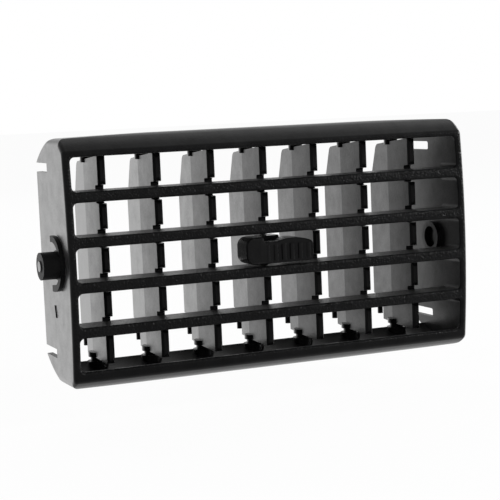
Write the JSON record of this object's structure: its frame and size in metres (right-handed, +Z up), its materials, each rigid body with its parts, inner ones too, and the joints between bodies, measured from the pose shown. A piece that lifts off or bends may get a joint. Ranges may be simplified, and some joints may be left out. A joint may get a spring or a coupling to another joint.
{
  "type": "dashboard air vent",
  "caption": "Wide curved dashboard air vent with horizontal louvre bars, linked upright vanes behind them, a ribbed thumb knob and trunnions at its ends.",
  "frame": {"origin": "middle of the vent's overall size, trunnions included, at the height of the trunnion axis", "axes": "+X across the vent to the right seen from the front, +Y from the face to the rear, +Z up"},
  "size_m": [0.172, 0.0466, 0.09],
  "materials": {
    "frame_plastic": "fine grain, satin",
    "vane_plastic": "matte",
    "link_plastic": "matte",
    "knob_plastic": "fine grain, satin",
    "bush_plastic": "smooth, satin"
  },
  "bodies": {
    "frame": {"louvre_frame": "frame_plastic", "trunnion_bush": "bush_plastic"},
    "vane_1": {"vane_1": "vane_plastic"},
    "vane_2": {"vane_2": "vane_plastic"},
    "vane_3": {"vane_3": "vane_plastic"},
    "vane_4": {"vane_4": "vane_plastic", "thumb_knob": "knob_plastic"},
    "vane_5": {"vane_5": "vane_plastic"},
    "vane_6": {"vane_6": "vane_plastic"},
    "vane_7": {"vane_7": "vane_plastic"},
    "link_bar": {"vane_link_bar": "link_plastic"}
  },
  "joints": [
    {"name": "vane_4_pivot", "type": "hinge", "parent": "frame", "child": "vane_4", "pos_m": [0.002, 0.0063, 0], "axis": [0, 0, 1], "range_deg": [-35, 35]},
    {"name": "vane_1_pivot", "type": "hinge", "parent": "frame", "child": "vane_1", "pos_m": [-0.061, 0.0063, 0], "axis": [0, 0, 1], "range_deg": [-36, 36]},
    {"name": "vane_2_pivot", "type": "hinge", "parent": "frame", "child": "vane_2", "pos_m": [-0.04, 0.0063, 0], "axis": [0, 0, 1], "range_deg": [-36, 36]},
    {"name": "vane_3_pivot", "type": "hinge", "parent": "frame", "child": "vane_3", "pos_m": [-0.019, 0.0063, 0], "axis": [0, 0, 1], "range_deg": [-36, 36]},
    {"name": "vane_5_pivot", "type": "hinge", "parent": "frame", "child": "vane_5", "pos_m": [0.023, 0.0063, 0], "axis": [0, 0, 1], "range_deg": [-36, 36]},
    {"name": "vane_6_pivot", "type": "hinge", "parent": "frame", "child": "vane_6", "pos_m": [0.044, 0.0063, 0], "axis": [0, 0, 1], "range_deg": [-36, 36]},
    {"name": "vane_7_pivot", "type": "hinge", "parent": "frame", "child": "vane_7", "pos_m": [0.065, 0.0063, 0], "axis": [0, 0, 1], "range_deg": [-36, 36]},
    {"name": "link_bar_pin", "type": "hinge", "parent": "vane_4", "child": "link_bar", "pos_m": [0.002, 0.0196, -0.0287], "axis": [0, 0, 1], "range_deg": [-36, 36]}
  ],
  "couplings": [
    {"joint": "vane_1_pivot", "follows": "vane_4_pivot", "ratio": 1},
    {"joint": "vane_2_pivot", "follows": "vane_4_pivot", "ratio": 1},
    {"joint": "vane_3_pivot", "follows": "vane_4_pivot", "ratio": 1},
    {"joint": "vane_5_pivot", "follows": "vane_4_pivot", "ratio": 1},
    {"joint": "vane_6_pivot", "follows": "vane_4_pivot", "ratio": 1},
    {"joint": "vane_7_pivot", "follows": "vane_4_pivot", "ratio": 1},
    {"joint": "link_bar_pin", "follows": "vane_4_pivot", "ratio": -1}
  ]
}
